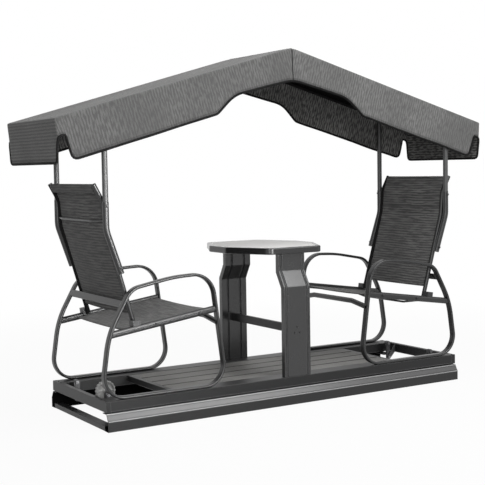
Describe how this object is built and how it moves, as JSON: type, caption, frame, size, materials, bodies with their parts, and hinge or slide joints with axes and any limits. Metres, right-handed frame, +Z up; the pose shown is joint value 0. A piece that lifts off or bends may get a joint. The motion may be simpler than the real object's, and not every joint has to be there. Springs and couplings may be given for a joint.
{
  "type": "garden swing",
  "caption": "Platform garden swing: facing sling chairs and a glass table on a slatted deck that hangs from short arms in a low base, under a gabled cloth canopy.",
  "frame": {"origin": "on the ground, under the middle of the table", "axes": "+X along the platform towards the right-hand chair, +Y to the rear, +Z up"},
  "size_m": [2.772, 0.751, 1.952],
  "materials": {
    "extrusion": "satin anthracite powder coat",
    "deck": "satin anthracite powder coat, fine ribs",
    "tube": "satin anthracite powder coat",
    "steel_plate": "satin grey",
    "fastener": "black zinc on bolts and screws, dull zinc on pivots",
    "bumper": "matt",
    "hand_wheel": "light grey moulded plastic",
    "table_rim": "satin anthracite, moulded",
    "table_glass": "pale frosted safety glass",
    "sling_cloth": "woven mesh, fine stripes",
    "canopy_cloth": "woven polyester, soft stripes"
  },
  "bodies": {
    "base": {"base_fascia_front": "extrusion", "base_fascia_rear": "extrusion", "base_end_bar_left": "extrusion", "base_end_bar_right": "extrusion", "hanger_stands": "steel_plate", "upper_pivot_bolts": "fastener"},
    "hanger_front_left": {"hanger_arm_front_left": "steel_plate"},
    "hanger_rear_left": {"hanger_arm_rear_left": "steel_plate"},
    "hanger_front_right": {"hanger_arm_front_right": "steel_plate"},
    "hanger_rear_right": {"hanger_arm_rear_right": "steel_plate"},
    "carriage": {"canopy_cross_bars": "tube", "canopy_posts_left": "tube", "canopy_posts_right": "tube", "canopy_rafters": "tube", "canopy_roof": "canopy_cloth", "canopy_sockets_left": "tube", "canopy_sockets_right": "tube", "chair_left_back_rails": "tube", "chair_left_back_sling": "sling_cloth", "chair_left_bolts": "fastener", "chair_left_cross_tubes": "tube", "chair_left_flat_bar": "tube", "chair_left_loop_front": "tube", "chair_left_loop_rear": "tube", "chair_left_seat_rails": "tube", "chair_left_seat_sling": "sling_cloth", "chair_right_back_rails": "tube", "chair_right_back_sling": "sling_cloth", "chair_right_bolts": "fastener", "chair_right_cross_tubes": "tube", "chair_right_flat_bar": "tube", "chair_right_loop_front": "tube", "chair_right_loop_rear": "tube", "chair_right_seat_rails": "tube", "chair_right_seat_sling": "sling_cloth", "deck_beam_left": "extrusion", "deck_beam_right": "extrusion", "deck_slats": "deck", "hanger_brackets": "steel_plate", "limit_bumpers": "bumper", "lock_bracket": "steel_plate", "lower_pivot_pins": "fastener", "platform_end_left": "extrusion", "platform_end_right": "extrusion", "platform_rail_front": "extrusion", "platform_rail_rear": "extrusion", "socket_bolts_left": "fastener", "socket_bolts_right": "fastener", "table_glass": "table_glass", "table_leg_front": "extrusion", "table_leg_rear": "extrusion", "table_rim": "table_rim", "table_screws": "fastener", "table_stretcher": "extrusion", "valance_front": "canopy_cloth", "valance_left": "canopy_cloth", "valance_rear": "canopy_cloth", "valance_right": "canopy_cloth"},
    "lock": {"lock_wheel": "hand_wheel", "lock_spindle": "fastener"}
  },
  "joints": [
    {"name": "glide", "type": "hinge", "parent": "base", "child": "hanger_front_left", "pos_m": [-1.083, -0.196, 0.156], "axis": [0, 1, 0], "range_deg": [-20, 20]},
    {"name": "platform_hang", "type": "hinge", "parent": "hanger_front_left", "child": "carriage", "pos_m": [-1.083, -0.196, 0.066], "axis": [0, 1, 0], "range_deg": [-20, 20]},
    {"name": "hang_rear_left", "type": "hinge", "parent": "base", "child": "hanger_rear_left", "pos_m": [-1.083, 0.196, 0.156], "axis": [0, 1, 0], "range_deg": [-20, 20]},
    {"name": "hang_front_right", "type": "hinge", "parent": "base", "child": "hanger_front_right", "pos_m": [1.083, -0.196, 0.156], "axis": [0, 1, 0], "range_deg": [-20, 20]},
    {"name": "hang_rear_right", "type": "hinge", "parent": "base", "child": "hanger_rear_right", "pos_m": [1.083, 0.196, 0.156], "axis": [0, 1, 0], "range_deg": [-20, 20]},
    {"name": "lock_turn", "type": "hinge", "parent": "carriage", "child": "lock", "pos_m": [-1.078, -0.163, 0.168], "axis": [0, 1, 0], "range_deg": [0, 340]}
  ],
  "couplings": [
    {"joint": "platform_hang", "follows": "glide", "ratio": -1},
    {"joint": "hang_rear_left", "follows": "glide", "ratio": 1},
    {"joint": "hang_front_right", "follows": "glide", "ratio": 1},
    {"joint": "hang_rear_right", "follows": "glide", "ratio": 1}
  ]
}
